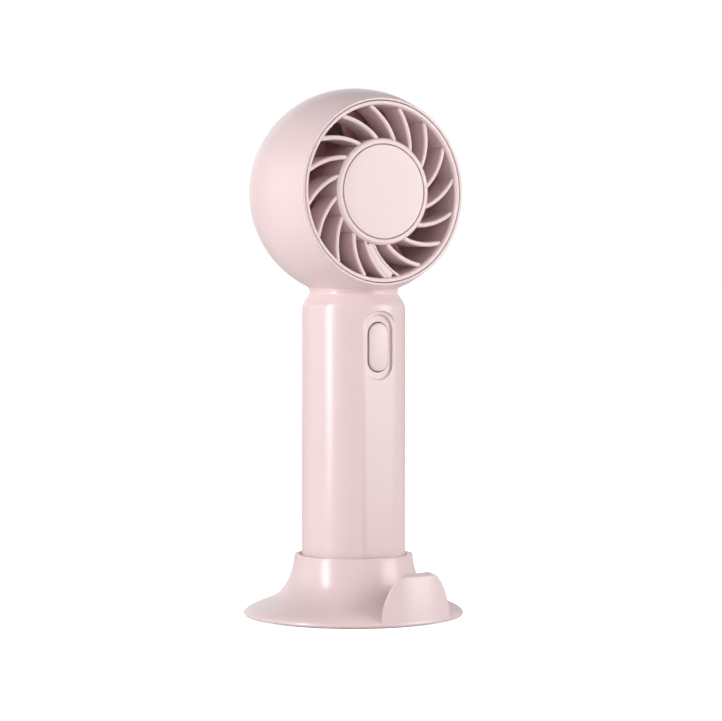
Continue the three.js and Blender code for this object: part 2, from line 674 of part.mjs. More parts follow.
add('motor_lead', tube(motorLead, 0.7, 26), redWire);
add('cell_lead', tube(cellLead, 0.6, 8), redWire);
add('charge_lead', tube(chargeLead, 0.6, 18), blackPlastic);

fan.add(head);

export default fan;
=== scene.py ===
# Handheld ball-head fan in its desk stand: the looks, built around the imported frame.
# Outlines and sizes in the dictionaries are millimetres, turned into metres by the tools below.
import bpy
import json
import math
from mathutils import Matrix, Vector


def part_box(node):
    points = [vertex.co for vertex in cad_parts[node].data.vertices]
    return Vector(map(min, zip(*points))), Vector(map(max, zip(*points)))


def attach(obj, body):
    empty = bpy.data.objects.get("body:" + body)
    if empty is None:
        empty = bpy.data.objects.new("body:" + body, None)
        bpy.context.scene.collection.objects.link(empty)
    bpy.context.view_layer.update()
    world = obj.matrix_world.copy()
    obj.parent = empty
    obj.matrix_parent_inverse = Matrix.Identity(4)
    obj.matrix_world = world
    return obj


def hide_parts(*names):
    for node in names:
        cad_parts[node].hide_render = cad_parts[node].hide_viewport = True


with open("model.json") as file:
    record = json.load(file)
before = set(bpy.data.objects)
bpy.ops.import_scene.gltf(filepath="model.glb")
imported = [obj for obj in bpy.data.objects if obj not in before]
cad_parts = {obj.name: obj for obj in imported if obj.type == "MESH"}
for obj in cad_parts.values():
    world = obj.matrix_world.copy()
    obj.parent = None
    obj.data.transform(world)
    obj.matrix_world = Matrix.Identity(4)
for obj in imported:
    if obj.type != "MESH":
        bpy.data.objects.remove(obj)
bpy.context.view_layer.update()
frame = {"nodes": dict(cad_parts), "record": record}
nodes = frame["nodes"]
mm = 0.001


def boxOf(node):
    low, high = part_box(node)
    return low / mm, high / mm


headCentre = (boxOf("hub_cap")[0].z + boxOf("hub_cap")[1].z) / 2
frontFace = boxOf("head_shell")[0].y
headRadius = boxOf("rear_grille")[1].y
print("frame loaded, head centre at", round(headCentre, 2), "mm")


# ---- tools ----
def clearSelection():
    if bpy.context.object and bpy.context.object.mode != "OBJECT":
        bpy.ops.object.mode_set(mode="OBJECT")
    bpy.ops.object.select_all(action="DESELECT")


def pick(piece):
    clearSelection()
    piece.select_set(True)
    bpy.context.view_layer.objects.active = piece


def named(name):
    piece = bpy.context.object
    piece.name = name
    piece.data.name = name
    return piece


def settle(piece, location=(0, 0, 0), rotation=(0, 0, 0)):
    # puts a piece in place and leaves its object at the origin
    pick(piece)
    piece.location = piece.location + Vector(location) * mm
    if any(rotation):
        piece.rotation_euler = rotation
    bpy.ops.object.transform_apply(location=True, rotation=True, scale=True)
    return piece


def copyOf(piece, name, rotation=(0, 0, 0)):
    twin = piece.copy()
    twin.data = piece.data.copy()
    bpy.context.scene.collection.objects.link(twin)
    twin.name = name
    return settle(twin, rotation=rotation)


def applied(piece, kind, **settings):
    pick(piece)
    change = piece.modifiers.new(kind.title(), kind)
    for key, value in settings.items():
        setattr(change, key, value)
    bpy.ops.object.modifier_apply(modifier=change.name)
    return piece


def roundEdges(piece, width, segments=3, angle=35):
    return applied(
        piece, "BEVEL", width=width * mm, segments=segments, limit_method="ANGLE",
        angle_limit=math.radians(angle), harden_normals=False,
    )


def combine(piece, other, operation):
    applied(piece, "BOOLEAN", object=other, operation=operation, solver="EXACT")
    bpy.data.objects.remove(other)
    return piece


def joinAll(pieces, name):
    clearSelection()
    for piece in pieces:
        piece.select_set(True)
    bpy.context.view_layer.objects.active = pieces[0]
    bpy.ops.object.join()
    return named(name)


def tidyMesh(piece):
    pick(piece)
    bpy.ops.object.mode_set(mode="EDIT")
    bpy.ops.mesh.select_all(action="SELECT")
    bpy.ops.mesh.remove_doubles(threshold=0.002 * mm)
    bpy.ops.mesh.normals_make_consistent(inside=False)
    bpy.ops.object.mode_set(mode="OBJECT")
    return piece


def selectWhere(piece, kind, wanted):
    # goes into edit mode with the points, edges or faces selected that lie where wanted() says, in mm
    pick(piece)
    bpy.ops.object.mode_set(mode="EDIT")
    bpy.ops.mesh.select_mode(type=kind)
    bpy.ops.mesh.select_all(action="DESELECT")
    bpy.ops.object.mode_set(mode="OBJECT")
    points = piece.data.vertices
    if kind == "VERT":
        for v in points:
            v.select = wanted(v.co / mm)
    else:
        for item in piece.data.edges if kind == "EDGE" else piece.data.polygons:
            item.select = all(wanted(points[k].co / mm) for k in item.vertices)
    bpy.ops.object.mode_set(mode="EDIT")


def smoothed(piece, angle=32):
    pick(piece)
    bpy.ops.object.shade_smooth_by_angle(angle=math.radians(angle))
    return piece


def bend(start, a, b, end, steps=12):
    # points of a Bezier curve, without its first point
    points = []
    for i in range(1, steps + 1):
        t = i / steps
        weights = ((1 - t) ** 3, 3 * t * (1 - t) ** 2, 3 * t * t * (1 - t), t ** 3)
        points.append(tuple(sum(w * p[k] for w, p in zip(weights, (start, a, b, end))) for k in (0, 1)))
    return points


def arc(centre, radius, start, end, steps):
    # points on a circle about (centre, 0) between two places on the axis
    a0, a1 = math.asin(start / radius), math.asin(end / radius)
    turns = [a0 + (a1 - a0) * i / steps for i in range(steps + 1)]
    return [(centre + radius * math.cos(a), radius * math.sin(a)) for a in turns]


def roundCorners(points, closed, steps=5):
    # a point with a third number is a corner, rounded to about that radius
    line = []
    for i, point in enumerate(points):
        inner = closed or 0 < i < len(points) - 1
        if len(point) == 2 or not inner:
            line.append(point[:2])
            continue
        corner = Vector(point[:2])
        before = Vector(points[i - 1][:2]) - corner
        after = Vector(points[(i + 1) % len(points)][:2]) - corner
        reach = point[2] / math.tan(before.angle(after) / 2)
        start = corner + before.normalized() * min(reach, before.length * 0.49)
        end = corner + after.normalized() * min(reach, after.length * 0.49)
        for k in range(steps + 1):
            t = k / steps
            line.append(tuple(start * (1 - t) ** 2 + corner * 2 * t * (1 - t) + end * t * t))
    return line


def turned(name, outline, segments=128, closed=False):
    # a turned piece about Z: [radius, height] points, extruded ring by ring
    points = roundCorners(outline, closed)
    if closed:
        points.append(points[0])
    startsOnAxis, endsOnAxis = points[0][0] < 1e-6, points[-1][0] < 1e-6
    rings = points[(1 if startsOnAxis else 0):(-1 if endsOnAxis else None)]
    clearSelection()
    bpy.ops.mesh.primitive_circle_add(vertices=segments, radius=rings[0][0] * mm)
    piece = named(name)
    piece.location.z = rings[0][1] * mm
    bpy.ops.object.mode_set(mode="EDIT")
    bpy.ops.mesh.select_all(action="SELECT")
    if startsOnAxis:
        bpy.ops.mesh.extrude_edges_move(
            TRANSFORM_OT_translate={"value": (0, 0, (points[0][1] - rings[0][1]) * mm)})
        bpy.ops.mesh.merge(type="CENTER")
        selectWhere(piece, "VERT", lambda at: math.hypot(at.x, at.y) > 0.001)
    for last, ring in zip(rings, rings[1:]):
        grow = ring[0] / last[0]
        bpy.ops.mesh.extrude_edges_move(TRANSFORM_OT_translate={"value": (0, 0, (ring[1] - last[1]) * mm)})
        bpy.ops.transform.resize(value=(grow, grow, 1))
    if endsOnAxis:
        bpy.ops.mesh.extrude_edges_move(
            TRANSFORM_OT_translate={"value": (0, 0, (points[-1][1] - rings[-1][1]) * mm)})
        bpy.ops.mesh.merge(type="CENTER")
    bpy.ops.object.mode_set(mode="OBJECT")
    settle(piece)
    return tidyMesh(piece)


def turnedOnAir(name, outline, segments=128, closed=False):
    # the same about the air axis, [radius, y]; a head piece stays at the origin until toHead
    piece = turned(name, outline, segments, closed)
    settle(piece, rotation=(-math.pi / 2, 0, 0))
    return tidyMesh(piece)


def toHead(piece):
    return settle(piece, location=(0, 0, headCentre))


def pillBlock(name, width, length, yFront, yBack, edge=0, sides=64):
    # an upright pill, pushed along Y, with its front edge rounded by edge
    clearSelection()
    bpy.ops.mesh.primitive_cylinder_add(
        vertices=sides, radius=width / 2 * mm, depth=(yBack - yFront) * mm,
        location=(0, (yFront + yBack) / 2 * mm, 0), rotation=(math.pi / 2, 0, 0))
    piece = settle(named(name))
    for side in (1, -1):
        selectWhere(piece, "VERT", lambda at: at.z * side > 0.001)
        bpy.ops.transform.translate(value=(0, 0, side * (length - width) / 2 * mm))
        bpy.ops.object.mode_set(mode="OBJECT")
    if edge:
        selectWhere(piece, "EDGE", lambda at: at.y < yFront + 0.01)
        bpy.ops.mesh.bevel(offset=edge * mm, segments=5, affect="EDGES")
        bpy.ops.object.mode_set(mode="OBJECT")
    return piece


def onFace(radius, degrees):
    # clockwise from the top, seen from the front
    a = math.radians(degrees)
    return radius * math.sin(a), radius * math.cos(a)


def give(piece, body, slot, material, *replaced):
    piece.data.materials.clear()
    piece.data.materials.append(material)
    if replaced:
        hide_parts(*replaced)
    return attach(piece, body)


# ---- finishes ----
def nodeGroup(name, inputs, outputs):
    group = bpy.data.node_groups.new(name, "ShaderNodeTree")
    for title, kind, value in inputs:
        socket = group.interface.new_socket(name=title, in_out="INPUT", socket_type=kind)
        if value is not None:
            socket.default_value = value
    for title, kind in outputs:
        group.interface.new_socket(name=title, in_out="OUTPUT", socket_type=kind)
    return group, group.nodes.new("NodeGroupInput"), group.nodes.new("NodeGroupOutput")


def node(tree, kind, **settings):
    made = tree.nodes.new(kind)
    for key, value in settings.items():
        setattr(made, key, value)
    return made


def mathNode(tree, operation, a, b):
    made = node(tree, "ShaderNodeMath", operation=operation)
    for socket, value in zip(made.inputs, (a, b)):
        if isinstance(value, (int, float)):
            socket.default_value = value
        else:
            tree.links.new(value, socket)
    return made.outputs[0]


def mixColour(tree, mask, a, b):
    made = node(tree, "ShaderNodeMix", data_type="RGBA")
    tree.links.new(mask, made.inputs[0])
    for socket, value in ((made.inputs[6], a), (made.inputs[7], b)):
        if isinstance(value, tuple):
            socket.default_value = value
        else:
            tree.links.new(value, socket)
    return made.outputs[2]


def noise(tree, vector, scale, detail=3, roughness=0.5):
    made = node(tree, "ShaderNodeTexNoise")
    made.inputs["Scale"].default_value = scale
    made.inputs["Detail"].default_value = detail
    made.inputs["Roughness"].default_value = roughness
    tree.links.new(vector, made.inputs["Vector"])
    return made.outputs["Fac"]


def makeMouldedSkin():
    # injection-moulded plastic: fine spark texture, faint flow marks and handling marks
    group, start, end = nodeGroup("mouldedSkin", [
        ("Vector", "NodeSocketVector", None), ("Colour", "NodeSocketColor", None),
        ("Flow", "NodeSocketFloat", 0.03), ("Roughness", "NodeSocketFloat", 0.4),
        ("Handling", "NodeSocketFloat", 0.05), ("Grain", "NodeSocketFloat", 1.0),
    ], [("Colour", "NodeSocketColor"), ("Roughness", "NodeSocketFloat"), ("Height", "NodeSocketFloat")])
    vector = start.outputs["Vector"]
    flow = noise(group, vector, 38, 4)
    marks = noise(group, vector, 140, 5, 0.62)
    grain = noise(group, vector, 5200, 2)
    pebble = noise(group, vector, 2100, 2)
    shade = node(group, "ShaderNodeHueSaturation")
    group.links.new(start.outputs["Colour"], shade.inputs["Color"])
    swing = mathNode(group, "MULTIPLY", mathNode(group, "SUBTRACT", flow, 0.5), start.outputs["Flow"])
    speck = mathNode(group, "MULTIPLY", mathNode(group, "SUBTRACT", grain, 0.5), 0.03)
    group.links.new(mathNode(group, "ADD", mathNode(group, "ADD", swing, speck), 1), shade.inputs["Value"])
    group.links.new(shade.outputs["Color"], end.inputs["Colour"])
    worn = mathNode(group, "MULTIPLY", mathNode(group, "SUBTRACT", marks, 0.5), start.outputs["Handling"])
    group.links.new(mathNode(group, "ADD", worn, start.outputs["Roughness"]), end.inputs["Roughness"])
    height = mathNode(group, "ADD", mathNode(group, "MULTIPLY", grain, 0.4), mathNode(group, "MULTIPLY", pebble, 0.6))
    group.links.new(mathNode(group, "MULTIPLY", height, start.outputs["Grain"]), end.inputs["Height"])
    return group


def makeDrawnMetal():
    # plated or drawn metal: hair lines along one direction, small stains
    group, start, end = nodeGroup("drawnMetal", [
        ("Vector", "NodeSocketVector", None), ("Colour", "NodeSocketColor", None),
        ("Roughness", "NodeSocketFloat", 0.3), ("Stretch", "NodeSocketVector", (1.0, 1.0, 0.04)),
    ], [("Colour", "NodeSocketColor"), ("Roughness", "NodeSocketFloat"), ("Height", "NodeSocketFloat")])
    stretched = node(group, "ShaderNodeVectorMath", operation="MULTIPLY")
    group.links.new(start.outputs["Vector"], stretched.inputs[0])
    group.links.new(start.outputs["Stretch"], stretched.inputs[1])
    lines = noise(group, stretched.outputs[0], 4200, 3, 0.6)
    stains = noise(group, start.outputs["Vector"], 420, 4)
    shade = node(group, "ShaderNodeHueSaturation")
    group.links.new(start.outputs["Colour"], shade.inputs["Color"])
    change = mathNode(group, "MULTIPLY", mathNode(group, "SUBTRACT", stains, 0.5), 0.35)
    group.links.new(mathNode(group, "ADD", change, 1), shade.inputs["Value"])
    group.links.new(shade.outputs["Color"], end.inputs["Colour"])
    rough = mathNode(group, "MULTIPLY", mathNode(group, "SUBTRACT", lines, 0.5), 0.3)
    group.links.new(mathNode(group, "ADD", rough, start.outputs["Roughness"]), end.inputs["Roughness"])
    group.links.new(lines, end.inputs["Height"])
    return group


def makeBands():
    # close parallel bands, as in wound wire or stacked sheets
    group, start, end = nodeGroup("closeBands", [
        ("Vector", "NodeSocketVector", None), ("Light", "NodeSocketColor", None),
        ("Dark", "NodeSocketColor", None), ("Scale", "NodeSocketFloat", 900),
    ], [("Colour", "NodeSocketColor"), ("Roughness", "NodeSocketFloat"), ("Height", "NodeSocketFloat")])
    wave = node(group, "ShaderNodeTexWave", bands_direction="Y")
    wave.inputs["Distortion"].default_value = 0.6
    wave.inputs["Detail"].default_value = 1
    group.links.new(start.outputs["Vector"], wave.inputs["Vector"])
    group.links.new(start.outputs["Scale"], wave.inputs["Scale"])
    band = wave.outputs["Fac"]
    group.links.new(mixColour(group, band, start.outputs["Dark"], start.outputs["Light"]), end.inputs["Colour"])
    group.links.new(mathNode(group, "ADD", mathNode(group, "MULTIPLY", band, -0.12), 0.42), end.inputs["Roughness"])
    group.links.new(band, end.inputs["Height"])
    return group


mouldedSkin, drawnMetal, closeBands = makeMouldedSkin(), makeDrawnMetal(), makeBands()


def finish(name, group, inputs, bump, distance, stretch=(1, 1, 1), **shader):
    # one material: object coordinates into a group, and the group into the shader
    material = bpy.data.materials.new(name)
    material.use_nodes = True
    tree = material.node_tree
    surface = tree.nodes["Principled BSDF"]
    for key, value in shader.items():
        surface.inputs[key.replace("_", " ")].default_value = value
    place = tree.nodes.new("ShaderNodeTexCoord")
    mapping = tree.nodes.new("ShaderNodeMapping")
    mapping.inputs["Scale"].default_value = stretch
    tree.links.new(place.outputs["Object"], mapping.inputs["Vector"])
    made = tree.nodes.new("ShaderNodeGroup")
    made.node_tree = group
    tree.links.new(mapping.outputs["Vector"], made.inputs["Vector"])
    for key, value in inputs.items():
        made.inputs[key].default_value = value
    relief = tree.nodes.new("ShaderNodeBump")
    relief.inputs["Strength"].default_value = bump
    relief.inputs["Distance"].default_value = distance * mm
    tree.links.new(made.outputs["Height"], relief.inputs["Height"])
    tree.links.new(made.outputs["Colour"], surface.inputs["Base Color"])
    tree.links.new(made.outputs["Roughness"], surface.inputs["Roughness"])
    tree.links.new(relief.outputs["Normal"], surface.inputs["Normal"])
    return material


def plastic(name, colour, roughness, flow=0.04, handling=0.07, grain=1.0, bump=0.35, **shader):
    values = {"Colour": (*colour, 1), "Roughness": roughness, "Flow": flow, "Handling": handling, "Grain": grain}
    return finish(name, mouldedSkin, values, bump, 0.02, **shader)


def metal(name, colour, roughness, stretch=(1, 1, 0.04)):
    values = {"Colour": (*colour, 1), "Roughness": roughness, "Stretch": stretch}
    return finish(name, drawnMetal, values, 0.2, 0.01, Metallic=1.0)


paint = {
    "palePink": (0.83, 0.648, 0.655),
    "capPink": (0.85, 0.672, 0.675),
    # the impeller's pink is darker and redder than the body's: painted shade for the deep inside of the head, seen
    # through the grille
    "innerShadePink": (0.74, 0.45, 0.44),
    "rubber": (0.33, 0.27, 0.275),
}
softGloss = {"Coat_Weight": 0.4, "Coat_Roughness": 0.22}
bodyPlastic = plastic("bodyPlastic", paint["palePink"], 0.32, **softGloss)
standPlastic = plastic("standPlastic", paint["palePink"], 0.32, **softGloss)
grillePlastic = plastic("grillePlastic", paint["palePink"], 0.4, **softGloss)
capPlastic = plastic("capPlastic", paint["capPink"], 0.42, grain=1.4, **softGloss)
buttonPlastic = plastic("buttonPlastic", paint["capPink"], 0.36, handling=0.14, **softGloss)
# the impeller takes the darker, redder pink: painted shade of the head's inside
impellerPlastic = plastic("impellerPlastic", paint["innerShadePink"], 0.45, flow=0.1)
rubberMat = plastic("footRubber", paint["rubber"], 0.82, grain=2.5, bump=0.7)
blackPlastic = plastic("blackPlastic", (0.028, 0.028, 0.03), 0.5)
whitePlastic = plastic("whitePlastic", (0.78, 0.77, 0.73), 0.5)
sleeveFilm = plastic("sleeveFilm", (0.06, 0.24, 0.4), 0.28, flow=0.12, bump=0.12)
leadSkin = plastic("leadSkin", (0.5, 0.03, 0.03), 0.38)
magnetStone = plastic("magnetStone", (0.05, 0.05, 0.055), 0.7, flow=0.5, grain=3)
boardSkin = plastic("boardSkin", (0.02, 0.16, 0.07), 0.34, flow=0.5, grain=0.6)
platedSteel = metal("platedSteel", (0.66, 0.67, 0.69), 0.28)
zincSteel = metal("zincSteel", (0.56, 0.57, 0.6), 0.38)
sheetSteel = finish("sheetSteel", closeBands, {
    "Light": (0.32, 0.33, 0.36, 1), "Dark": (0.09, 0.09, 0.1, 1), "Scale": 320,
}, 0.5, 0.08, Metallic=1.0)
woundCopper = finish("woundCopper", closeBands, {
    "Light": (0.78, 0.33, 0.13, 1), "Dark": (0.24, 0.07, 0.02, 1), "Scale": 520,
}, 0.9, 0.15, Metallic=0.85)
print("finishes made")

slotFinish = {
    "body_plastic": bodyPlastic, "stand_plastic": standPlastic, "grille_plastic": grillePlastic,
    "hub_cap_plastic": capPlastic, "button_plastic": buttonPlastic, "impeller_plastic": impellerPlastic,
    "foot_rubber": rubberMat, "screws": zincSteel, "bright_steel": platedSteel, "stator_steel": sheetSteel,
    "copper_winding": woundCopper, "magnet": magnetStone, "circuit_board": boardSkin,
    "black_plastic": blackPlastic, "white_plastic": whitePlastic, "cell_sleeve": sleeveFilm,
    "lead_insulation": leadSkin,
}
for part in frame["record"]["subparts"]:
    kept = nodes[part["node"]]
    kept.data.materials.clear()
    kept.data.materials.append(slotFinish[part["material_slot"]])

# ---- camera and light ----
cameraPlace = {
    "azimuth": -31.49, "distance": 977.6, "height": 128.0, "down": 1.814, "aside": 0.167, "lens": 128.38,
}


def pointAt(azimuth, distance, height):
    a = math.radians(azimuth)
    return Vector((math.sin(a) * distance, -math.cos(a) * distance, height)) * mm


clearSelection()
bpy.ops.object.camera_add(
    location=pointAt(cameraPlace["azimuth"], cameraPlace["distance"], cameraPlace["height"]),
    rotation=(math.radians(90 - cameraPlace["down"]), 0,
              math.radians(cameraPlace["azimuth"] - cameraPlace["aside"])))
camera = named("camera")
camera.data.lens = cameraPlace["lens"]
camera.data.sensor_width = 36
bpy.context.scene.camera = camera
bpy.context.scene.view_settings.view_transform = "Standard"

lamps = {
    "leftStrip": {"azimuth": -86, "distance": 900, "height": 220, "size": (118, 1000), "power": 7.4},
    "leftFill": {"azimuth": -125, "distance": 1100, "height": 200, "size": (700, 900), "power": 0.9},
    "rightSoft": {"azimuth": 42, "distance": 1000, "height": 220, "size": (560, 900), "power": 7.8},
    "backSoft": {"azimuth": 165, "distance": 1200, "height": 420, "size": (900, 900), "power": 1.2},
}
aim = Vector((0, 0, 110)) * mm
for name, lamp in lamps.items():
    clearSelection()
    where = pointAt(lamp["azimuth"], lamp["distance"], lamp["height"])
    bpy.ops.object.light_add(type="AREA", location=where)
    light = named(name)
    light.rotation_euler = (aim - where).to_track_quat("-Z", "Y").to_euler()
    light.data.shape = "RECTANGLE"
    light.data.size, light.data.size_y = lamp["size"][0] * mm, lamp["size"][1] * mm
    light.data.energy = lamp["power"]

# the air is bright all round and dimmer overhead, and plain white behind the object
studio = {"around": 0.49, "overhead": 0.26, "background": 1.0, "floorSide": 80000, "floorGlow": 0.9}
world = bpy.data.worlds.new("studioAir")
bpy.context.scene.world = world
world.use_nodes = True
sky = world.node_tree
direction = node(sky, "ShaderNodeSeparateXYZ")
sky.links.new(node(sky, "ShaderNodeTexCoord").outputs["Generated"], direction.inputs[0])
rise = node(sky, "ShaderNodeMapRange", interpolation_type="SMOOTHSTEP")
for key, value in (("From Min", 0.1), ("From Max", 0.9), ("To Min", studio["around"]), ("To Max", studio["overhead"])):
    rise.inputs[key].default_value = value
sky.links.new(direction.outputs["Z"], rise.inputs["Value"])
ray = node(sky, "ShaderNodeLightPath")
seen = node(sky, "ShaderNodeMix")
sky.links.new(ray.outputs["Is Camera Ray"], seen.inputs[0])
sky.links.new(rise.outputs["Result"], seen.inputs[2])
seen.inputs[3].default_value = studio["background"]
sky.links.new(seen.outputs[0], sky.nodes["Background"].inputs["Strength"])
sky.nodes["Background"].inputs["Color"].default_value = (1, 1, 1, 1)

clearSelection()
bpy.ops.mesh.primitive_plane_add(size=studio["floorSide"] * mm)
floor = named("floor")
floorPaint = bpy.data.materials.new("floorPaint")
floorPaint.use_nodes = True
floorTree = floorPaint.node_tree
floorSurface = floorTree.nodes["Principled BSDF"]
floorSurface.inputs["Base Color"].default_value = (0.86, 0.85, 0.85, 1)
floorSurface.inputs["Roughness"].default_value = 0.75
floorSurface.inputs["Emission Color"].default_value = (1, 1, 1, 1)
floorRay = node(floorTree, "ShaderNodeLightPath")
glow = mathNode(floorTree, "MULTIPLY", floorRay.outputs["Is Camera Ray"], studio["floorGlow"])
floorTree.links.new(glow, floorSurface.inputs["Emission Strength"])
floor.data.materials.append(floorPaint)
print("camera, lights and floor set")

# ---- the stand ----
stand = {
    "rim": boxOf("stand_shell")[1].x, "under": boxOf("stand_shell")[0].z, "top": boxOf("stand_shell")[1].z,
    "collar": 22.5, "socket": 20.2, "floor": 4, "wall": 1.6,
    "tongueReach": 41.5, "tongueThick": 2.1, "tongueTop": 19.6, "tongueFront": 18.3, "tongueLean": 0.8,
    "tongueHalf": 15.8, "tongueTopHalf": 4, "tongueTurn": 6, "tongueEdge": 0.45,
}


def makeTongue():
    # an arch standing on the rim, drawn flat, thickened and cut to the round of the foot
    half, topHalf, top = stand["tongueHalf"], stand["tongueTopHalf"], stand["tongueTop"] + 0.6
    side = [(half, 3.5)] + bend((half, 3.5), (15.4, 10.5), (10.5, top - 0.8), (topHalf, top), 18)
    outline = [(half, 1)] + side + [(-x, z) for x, z in reversed(side)] + [(-half, 1)]
    clearSelection()
    bpy.ops.mesh.primitive_circle_add(vertices=len(outline), radius=1, fill_type="NGON")
    arch = named("tongueArch")
    for v, (x, z) in zip(arch.data.vertices, outline):
        v.co = Vector((x, -stand["rim"], z)) * mm
    bpy.ops.object.mode_set(mode="EDIT")
    bpy.ops.mesh.select_all(action="SELECT")
    bpy.ops.mesh.extrude_region_move(
        TRANSFORM_OT_translate={"value": (0, (stand["rim"] - stand["collar"]) * mm, 0)})
    bpy.ops.object.mode_set(mode="OBJECT")
    for v in arch.data.vertices:
        # its sides point at the axis
        v.co.x = -v.co.y * math.tan(math.asin(v.co.x / mm / stand["tongueReach"]))
    tidyMesh(arch)
    inner = stand["tongueReach"] - stand["tongueThick"]
    band = turned("tongueBand", [
        (inner, stand["under"] + 1), (stand["tongueReach"], stand["under"] + 1),
        (stand["tongueReach"] - stand["tongueLean"], stand["tongueFront"]),
        (inner - stand["tongueLean"], stand["tongueTop"]),
    ], 360, closed=True)
    combine(arch, band, "INTERSECT")
    roundEdges(arch, stand["tongueEdge"], 4, 40)
    return settle(arch, rotation=(0, 0, math.radians(stand["tongueTurn"])))


def makeStand():
    rim, collar, top, socket = stand["rim"], stand["collar"], stand["top"], stand["socket"]
    tube = socket + stand["wall"]
    outline = [
        (0, 2.6), (tube, 2.6, 0.6), (tube, 15.6), (tube + 0.4, 15.2), (24, 10.6, 2), (26.6, 7.3, 2), (29.6, 5.5, 2),
        (33.6, 4, 2), (37.4, 2.9), (39.9, 2, 0.4), (39.9, stand["under"], 0.15),
        (rim - 0.5, stand["under"], 0.35), (rim, 1.2),
    ]
    foot = bend((rim, 1.2), (rim, 3.6), (34, 5.4), (30.5, 7.4), 16)
    rise = bend((30.5, 7.4), (25.6, 10.2), (23.2, 16.5), (collar, top - 0.9), 22)
    crown = [(collar, top, 0.45), (socket + 0.7, top, 0.3), (socket, top - 0.9), (socket, 5), (socket - 1, 4), (0, 4)]
    shell = turned("stand", outline + foot + rise + crown, 192)
    shell = combine(shell, makeTongue(), "UNION")
    return give(smoothed(shell, 30), "stand", "stand_plastic", standPlastic, "stand_shell")


makeStand()
print("stand modelled")

# ---- the handle ----
handle = {
    "radius": 19.65, "bore": 17.2, "foot": boxOf("handle_shell")[0].z, "shoulder": 116.7,
    "neck": 123.2, "neckRadius": 16.8, "facet": 18.3, "facetWidth": 16.4, "facetTop": 116.2, "facetFillet": 0.7,
    "spigot": 15.4, "waist": 0.6,
}
button = {
    "height": 102.5, "width": 8.2, "length": 18.2, "gap": 0.42, "front": boxOf("power_button")[0].y + 0.2,
    "edge": 1.0, "pocketWidth": 11.9, "pocketLength": 24.8, "pocketDepth": 0.85, "pocketEdge": 0.8,
}
port = {"height": 34.1, "width": 3.2, "length": 8.9, "relief": 0.45}


def makeHandle():
    radius, bore, foot, neck = handle["radius"], handle["bore"], handle["foot"], handle["neck"]
    outline = [
        (bore, foot, 0.2), (radius, foot, 0.9), (radius, handle["shoulder"] - 0.1),
        *bend((radius, handle["shoulder"]), (radius, 119.2), (17.6, 120.9),
              (handle["neckRadius"], neck - handle["waist"]), 18),
        (handle["neckRadius"], neck),
        (handle["spigot"] + 0.35, neck), (handle["spigot"] + 0.35, handle["shoulder"] + 1),
        (bore, handle["shoulder"] - 2),
    ]
    shell = turned("handle", outline, 192, closed=True)
    front = -handle["facet"]
    below = 20
    strip = pillBlock("strip", handle["facetWidth"], handle["facetTop"] + below, front - 5, front)
    settle(strip, location=(0, 0, (handle["facetTop"] - below) / 2))
    selectWhere(strip, "EDGE", lambda at: at.y > front - 0.5)
    bpy.ops.mesh.bevel(offset=handle["facetFillet"] * mm, segments=6, affect="EDGES")
    bpy.ops.object.mode_set(mode="OBJECT")
    shell = combine(shell, strip, "DIFFERENCE")
    frameBack = pillBlock("buttonFrame", button["pocketWidth"] + 2, button["pocketLength"] + 2, front + 0.55, -14)
    shell = combine(shell, settle(frameBack, location=(0, 0, button["height"])), "UNION")
    pocket = pillBlock("pocket", button["pocketWidth"], button["pocketLength"],
                       front - 3, front + button["pocketDepth"])
    settle(pocket, location=(0, 0, button["height"]))
    selectWhere(pocket, "EDGE", lambda at: at.y > front + 0.5)
    bpy.ops.mesh.bevel(offset=button["pocketEdge"] * mm, segments=8, affect="EDGES")
    bpy.ops.object.mode_set(mode="OBJECT")
    shell = combine(shell, pocket, "DIFFERENCE")
    spare = 2 * button["gap"]
    hole = pillBlock("hole", button["width"] + spare, button["length"] + spare, -22, -12)
    shell = combine(shell, settle(hole, location=(0, 0, button["height"])), "DIFFERENCE")
    slot = pillBlock("portHole", port["width"] + 2 * port["relief"], port["length"] + 2 * port["relief"], 14, 22)
    settle(slot, rotation=(0, math.pi / 2, 0))
    settle(slot, location=(0, 0, port["height"]))
    shell = combine(shell, slot, "DIFFERENCE")
    return give(smoothed(shell, 30), "fan", "body_plastic", bodyPlastic, "handle_shell")


def makeButton():
    front = button["front"]
    cap = pillBlock("powerButton", button["width"], button["length"], front, -14, button["edge"], 80)
    flange = pillBlock("buttonFlange", button["width"] + 2, button["length"] + 2, -14, -12.8, 0, 80)
    cap = joinAll([cap, flange], "powerButton")
    settle(cap, location=(0, 0, button["height"]))
    return give(smoothed(cap, 35), "power_button", "button_plastic", buttonPlastic, "power_button")


makeHandle()
makeButton()
print("handle and button modelled")

# ---- the head ----
head = {
    "front": frontFace, "radius": headRadius, "frontRadius": 52.6, "lip": 35, "mouth": 34.05,
    "wall": 2, "rearOpening": 28.45, "rearRim": 27.3, "rearSeat": 25.2, "rearLip": 26.4, "inside": 23.6,
    "ductEnd": 8.5, "passage": 13.2,
}


